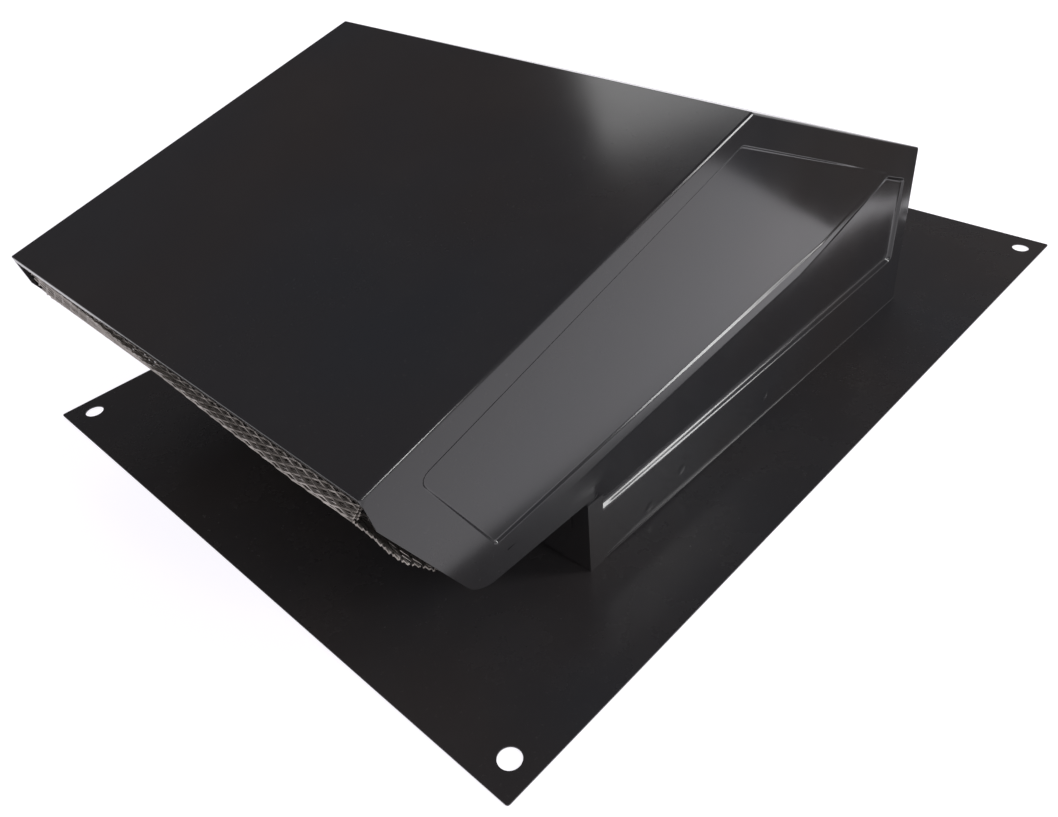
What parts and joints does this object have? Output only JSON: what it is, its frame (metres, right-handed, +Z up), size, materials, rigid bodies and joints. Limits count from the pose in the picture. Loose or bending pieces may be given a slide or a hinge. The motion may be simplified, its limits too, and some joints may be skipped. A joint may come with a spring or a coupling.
{
  "type": "roof vent cap",
  "caption": "Low sheet-steel roof vent cap: a wedge-shaped hood with pressed sides and a bird screen on a flat flashing plate, for a round duct.",
  "frame": {"origin": "middle of the four nail holes, on the underside of the flashing plate", "axes": "+X across the roof slope, -Y down the slope to the hood's mouth, +Z up off the roof"},
  "size_m": [0.248, 0.3515, 0.1189],
  "materials": {
    "black_paint": "satin black",
    "screen_metal": "dull expanded metal"
  },
  "bodies": {
    "root": {"base_plate": "black_paint", "duct_collar": "black_paint", "weld_angle_left": "black_paint", "weld_angle_right": "black_paint", "hood": "black_paint", "front_dam": "black_paint", "screen_top_strip": "screen_metal", "screen_front_left": "screen_metal", "screen_front_right": "screen_metal", "screen_side_left": "screen_metal", "screen_side_right": "screen_metal", "screen_under_left": "screen_metal", "screen_under_right": "screen_metal"}
  },
  "joints": []
}
